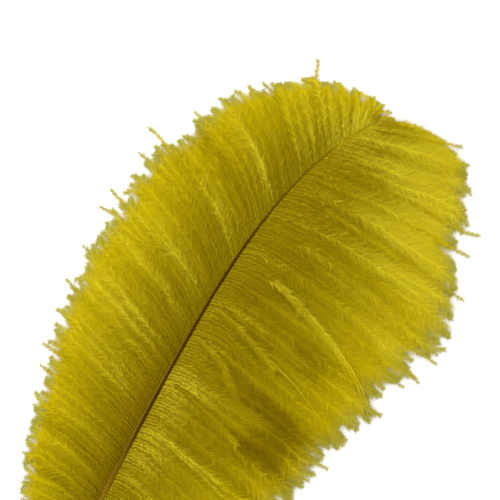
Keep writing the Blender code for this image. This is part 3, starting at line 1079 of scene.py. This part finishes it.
def shaft_finish(props):
    """Horn with fine streaks: amber on the quill and a little above it, then dark brown, with a painted
    highlight along its left edge, and paler towards the tip."""
    finish = Finish("horn_shaft")
    streaks = finish.grain(finish.node("ShaderNodeTexCoord", output=OBJECT_OUTPUT), *HORN_GRAIN)
    across, reached = (
        finish.node("ShaderNodeAttribute", {"attribute_name": name}, output=FACTOR_OUTPUT)
        for name in ("across", "reached")
    )
    vaned = finish.share(reached + HORN_GRAIN_SHIFT * streaks, *VANED)
    brown = finish.mixed(streaks, opaque(props.dark_colour), opaque(props.streak_colour))
    # A painted highlight along the shaft's left edge, which fades towards the tip
    edge = finish.share(across, *HIGHLIGHT_STARTS) * finish.share(reached, *HIGHLIGHT_ENDS)
    brown = finish.mixed(edge, brown, opaque(props.lit_edge_highlight_colour))
    most, low, high = DYED_END
    brown = finish.mixed(most * finish.share(reached, low, high), brown, opaque(props.tip_colour))
    amber = finish.mixed(streaks, opaque(props.quill_colour), opaque(props.streak_colour))
    bump = finish.node("ShaderNodeBump", inputs={**HORN_BUMP, "Height": streaks})
    rough, rougher = HORN_ROUGHNESS
    finish.paint({
        "Base Color": finish.mixed(vaned, amber, brown),
        "Roughness": rough + rougher * streaks,
        "Specular IOR Level": HORN_SHINE,
        "Normal": bump,
    })
    return finish.material


def floor_finish(colour):
    """Matt white board, very slightly uneven."""
    finish = Finish("white_board")
    cloud = finish.grain(finish.node("ShaderNodeTexCoord", output=OBJECT_OUTPUT), *FLOOR_GRAIN)
    darker = tuple(FLOOR_DARKER * value for value in colour)
    base = finish.mixed(cloud, opaque(colour), opaque(darker))
    finish.paint({"Base Color": base, "Roughness": FLOOR_ROUGHNESS})
    return finish.material


def mark_shaft(mesh):
    """Two attributes for the horn: how far each point is along the shaft and across it."""
    points = np.empty(len(mesh.vertices) * 3)
    mesh.vertices.foreach_get("co", points)
    points = points.reshape(-1, 3)
    grid = np.arange(0, SHAFT_LENGTH, MM)
    places = shaft_place(grid)
    nearest = np.argmin(np.linalg.norm(points[:, None, :2] - places[None, :, :2], axis=2), axis=1)
    at = grid[nearest]
    right = np.cross(along(heading(at)), (0.0, 0.0, 1.0))
    off = np.sum((points - places[nearest]) * right, -1) / (eased(SHAFT_WIDTHS, 1, at) / 2)
    for name, values in (("reached", at / SHAFT_LENGTH), ("across", off)):
        mesh.attributes.new(name, "FLOAT", "POINT").data.foreach_set("value", values.astype(np.float32))


def settle(piece):
    """The piece moves with the feather's body and stands for its solid, which is hidden."""
    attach(piece, "root")
    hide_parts("feather")


def colour(name, description, default):
    return FloatVectorProperty(
        name=name, description=description, subtype="COLOR", size=3, min=0, max=1, default=default
    )


def number(name, description, default, unit="NONE", **limits):
    return FloatProperty(name=name, description=description, default=default, unit=unit, **limits)


def factor(name, description, default, least, most):
    """A share of something."""
    return number(name, description, default, subtype="FACTOR", min=least, max=most)


def distance(name, description, default, least=0.0):
    return number(name, description, default, unit="LENGTH", min=least)


class FeatherShaftProps(bpy.types.PropertyGroup):
    dark_colour: colour("Dark horn", "The shaft between the vanes", (0.042, 0.0165, 0.0002))
    # The lit edge is a painted highlight along the shaft's left edge
    lit_edge_highlight_colour: colour("Lit edge", "The paler horn along the shaft's left edge", (0.29, 0.19, 0.01))
    tip_colour: colour("Thin end", "The horn towards the tip, which takes the dye", (0.25, 0.18, 0.001))
    streak_colour: colour("Streaks", "The paler streaks along the horn", (0.075, 0.036, 0.0005))
    quill_colour: colour("Bare quill", "The horn below the vanes", (0.36, 0.22, 0.012))


class FeatherBarbProps(bpy.types.PropertyGroup):
    spacing: distance(
        "Barb spacing", "Distance between barbs along the shaft, near the quill", 2.1 * MM, 0.5 * MM
    )
    tuft_pitch: distance("Tuft pitch", "Distance between tufts of barbules along a barb", 1.14 * MM, 0.2 * MM)
    barbule_width: distance("Barbule width", "Width of a barbule at its root", 0.13 * MM, 0.01 * MM)
    down_pitch: distance(
        "Down pitch", "Distance along a barb between the blades of its down", 0.33 * MM, 0.05 * MM
    )
    down_width: distance("Down width", "Width of a blade of down at its root", 0.3 * MM, 0.05 * MM)
    stem_width: distance("Stem width", "Width of a barb's stem at its root", 0.42 * MM, 0.05 * MM)
    fluff: factor("Fluff", "Length of the barbules, as a share of the usual one", 1.0, 0.2, 2.0)
    left_crown: distance("Left crown", "How far a left strand's crest stands above its edges", 0.28 * MM)
    right_crown: distance("Right crown", "How far a right strand's crest stands above its edges", 0.9 * MM)
    # Near the shaft the dye is painted darker: painted shade in the trough between the vanes
    root_dye_and_shade_colour: colour("At the shaft", "The dye near the shaft", (0.33, 0.238, 0.0002))
    # Towards the tips the dye is painted lighter: painted light
    tip_colour: colour("Outwards", "The dye towards the tips", (0.785, 0.636, 0.002))
    # Painted shade: the colour of barbs in the hollows
    hollow_shade_colour: colour("In the hollows", "The dye of the darker barbs", (0.245, 0.149, 0.0002))
    # Painted highlight: the colour of barbs on the lit crests
    crest_highlight_colour: colour("On the crests", "The dye of the brighter barbs", (0.88, 0.77, 0.03))
    fringe_colour: colour("At the fringe", "The greyer dye at the barbs' tips", (0.47, 0.456, 0.075))
    light_through: factor("Light through", "Share of light that a barb lets through", 0.22, 0.0, 1.0)
    light_through_colour: colour(
        "Colour of light through", "Colour of the light that has passed through a barb", (0.6, 0.47, 0.004)
    )


class FeatherStageProps(bpy.types.PropertyGroup):
    floor_colour: colour("Floor", "Colour of the surface that the feather lies on", (0.93, 0.93, 0.93))
    key_power: number("Key light", "Power of the soft light at the upper left", 5.0, unit="POWER", min=0.0)
    sky_strength: number("Sky", "Strength of the even light from all round", 1.03, min=0.0)


def deselect():
    bpy.ops.object.select_all(action="DESELECT")
    bpy.context.view_layer.objects.active = None


class FEATHER_OT_shaft(bpy.types.Operator):
    """Draw the shaft out, ring by ring, from the quill's end to the tip"""

    bl_idname = "feather.shaft"
    bl_label = "Shaft"

    def execute(self, context):
        deselect()
        stations = np.concatenate([
            QUILL_END_RINGS, np.arange(SHAFT_STEP, SHAFT_LENGTH - MM, SHAFT_STEP), (SHAFT_LENGTH,)
        ])
        widths = eased(SHAFT_WIDTHS, 1, stations)
        widths[0] *= QUILL_END_WIDTH
        places = shaft_place(stations)
        places[:, 2] = widths * MIDDLE_SHARE
        bpy.ops.mesh.primitive_circle_add(
            vertices=SHAFT_SIDES,
            radius=widths[0] / 2,
            fill_type="NGON",
            location=places[0],
            rotation=(math.pi / 2, 0, 0),
        )
        shaft = context.active_object
        shaft.name = "shaft"
        bpy.ops.object.transform_apply(location=True, rotation=True, scale=True)
        bpy.ops.object.mode_set(mode="EDIT")
        bpy.ops.mesh.select_all(action="SELECT")
        turned = 0.0
        for k in range(1, len(stations)):
            step = places[k] - places[k - 1]
            bpy.ops.mesh.extrude_region_move(TRANSFORM_OT_translate={"value": tuple(step)})
            growth = widths[k] / widths[k - 1]
            bpy.ops.transform.resize(value=(growth,) * 3, center_override=tuple(places[k]))
            turn = math.pi / 2 - heading(stations[k]) - turned
            if turn > 1e-6:
                bpy.ops.transform.rotate(value=turn, orient_axis="Z", center_override=tuple(places[k]))
            turned += turn
        bpy.ops.mesh.select_all(action="SELECT")
        flatter = 2 * (SHAFT_HEIGHT_SHARE - MIDDLE_SHARE)
        bpy.ops.transform.resize(value=(1, 1, flatter), center_override=(0, 0, 0))
        bpy.ops.mesh.bisect(
            plane_co=(0, 0, 0), plane_no=(0, 0, 1), clear_inner=True, use_fill=True, threshold=1e-7
        )
        bpy.ops.mesh.select_all(action="SELECT")
        bpy.ops.mesh.normals_make_consistent(inside=False)
        bpy.ops.object.mode_set(mode="OBJECT")
        bpy.ops.object.shade_smooth_by_angle(angle=SHAFT_SMOOTH_ANGLE)
        mark_shaft(shaft.data)
        shaft.data.materials.append(shaft_finish(context.scene.feather_shaft))
        settle(shaft)
        return {"FINISHED"}


class FEATHER_OT_vanes(bpy.types.Operator):
    """Grow the barbs of both vanes, each with its stem and its tufts of barbules"""

    bl_idname = "feather.vanes"
    bl_label = "Vanes"

    def execute(self, context):
        props = context.scene.feather_barbs
        draw = random.Random(LOCK_SEED)
        finish = barb_finish(props)
        for name, side, vane, arch, crown, gathered, pieces in (
            ("left_barbs", 1, LEFT_VANE, LEFT_ARCH, props.left_crown, LEFT_GATHERED, 2),
            ("right_barbs", -1, RIGHT_VANE, RIGHT_ARCH, props.right_crown, RIGHT_GATHERED, 3),
        ):
            locks = locks_of(draw, vane, arch)
            rng = np.random.default_rng((BARB_SEED, side + 1))
            barbs = vane_barbs(side, vane, locks, props.spacing, crown, gathered, props.stem_width, rng)
            fluff = np.full(len(barbs.length), props.fluff)
            shares = np.cumsum(barbs.length) / barbs.length.sum()
            for k in range(pieces):
                chosen = np.flatnonzero((shares > k / pieces) & (shares <= (k + 1) / pieces + 1e-9))
                parts = [
                    stems(barbs, chosen),
                    tufts(barbs, chosen, props.tuft_pitch, props.barbule_width, fluff, BARB_ENDS, rng),
                    down(barbs, chosen, props.down_pitch, props.down_width, rng),
                    under_layer(barbs, chosen[0], chosen[-1] + 1, rng),
                ]
                settle(joined_mesh(f"{name}_{k + 1}", parts, finish))
            loose = []
            wisps = [(row[0], row[1], 0, *row[2:], *WISP) for row in WISPS]
            for seed, rows, ends, curl in (
                (THREAD_SEED, THREADS, THREAD_ENDS, TOP_CURL),
                (BRUSH_SEED, BRUSHES, BRUSH_ENDS, TOP_CURL),
                (WISP_SEED, wisps, WISP_ENDS, WISP_CURL),
            ):
                rng = np.random.default_rng((seed, side + 1))
                group = [row[1:] for row in rows if row[0] == side]
                top, fluff = top_barbs(side, vane, locks, group, curl, props.stem_width, rng)
                chosen = np.arange(len(top.length))
                fluff *= props.fluff
                loose.append(stems(top, chosen))
                loose.append(tufts(top, chosen, props.tuft_pitch, props.barbule_width, fluff, ends, rng))
            loose.append(root_down(side, vane, ROOT_DOWN_PITCH, props.down_width, rng))
            settle(joined_mesh(f"{name}_loose", loose, finish))
        return {"FINISHED"}


class FEATHER_OT_stage(bpy.types.Operator):
    """Lay the white floor, and place the lights and the camera that looks straight down"""

    bl_idname = "feather.stage"
    bl_label = "Stage"

    def execute(self, context):
        props = context.scene.feather_stage
        deselect()
        bpy.ops.mesh.primitive_plane_add(size=FLOOR_SIZE, location=(0, 0, 0))
        floor = context.active_object
        floor.name = "floor"
        floor.data.materials.append(floor_finish(props.floor_colour))
        right = Vector((math.cos(FRAME_ROLL), math.sin(FRAME_ROLL), 0.0))
        up = Vector((-math.sin(FRAME_ROLL), math.cos(FRAME_ROLL), 0.0))
        place = FRAME_MIDDLE + KEY_ASIDE * (up - right).normalized() + Vector((0, 0, KEY_HEIGHT))
        bpy.ops.object.light_add(type="AREA", location=place)
        key = context.active_object
        key.name = "key_light"
        key.data.energy = props.key_power
        key.data.size = KEY_SIZE
        key.rotation_euler = (place - FRAME_MIDDLE).to_track_quat("Z", "Y").to_euler()
        world = bpy.data.worlds.new("soft_sky")
        world.use_nodes = True
        sky = world.node_tree.nodes["Background"]
        sky.inputs["Color"].default_value = (1.0, 1.0, 1.0, 1.0)
        sky.inputs["Strength"].default_value = props.sky_strength
        context.scene.world = world
        height = FRAME_WIDTH * LENS / SENSOR
        bpy.ops.object.camera_add(
            location=FRAME_MIDDLE + Vector((0, 0, height)), rotation=(0, 0, FRAME_ROLL)
        )
        camera = context.active_object
        camera.name = "camera"
        camera.data.lens = LENS
        camera.data.sensor_width = SENSOR
        context.scene.camera = camera
        context.scene.view_settings.view_transform = "Standard"
        return {"FINISHED"}


class FEATHER_PT_panel(bpy.types.Panel):
    bl_label = "Ostrich Feather"
    bl_idname = "FEATHER_PT_panel"
    bl_space_type = "VIEW_3D"
    bl_region_type = "UI"
    bl_category = "Feather"

    def draw(self, context):
        for group, operator in (
            (context.scene.feather_shaft, "feather.shaft"),
            (context.scene.feather_barbs, "feather.vanes"),
            (context.scene.feather_stage, "feather.stage"),
        ):
            box = self.layout.box()
            for name in group.__annotations__:
                box.prop(group, name)
            box.operator(operator)


GROUPS = {
    "feather_shaft": FeatherShaftProps,
    "feather_barbs": FeatherBarbProps,
    "feather_stage": FeatherStageProps,
}
CLASSES = (*GROUPS.values(), FEATHER_OT_shaft, FEATHER_OT_vanes, FEATHER_OT_stage, FEATHER_PT_panel)


def register():
    for made in CLASSES:
        bpy.utils.register_class(made)
    for name, group in GROUPS.items():
        setattr(bpy.types.Scene, name, PointerProperty(type=group))


def unregister():
    for name in GROUPS:
        delattr(bpy.types.Scene, name)
    for made in reversed(CLASSES):
        bpy.utils.unregister_class(made)


def main():
    register()
    bpy.ops.feather.shaft()
    bpy.ops.feather.vanes()
    bpy.ops.feather.stage()


if __name__ == "__main__":
    main()
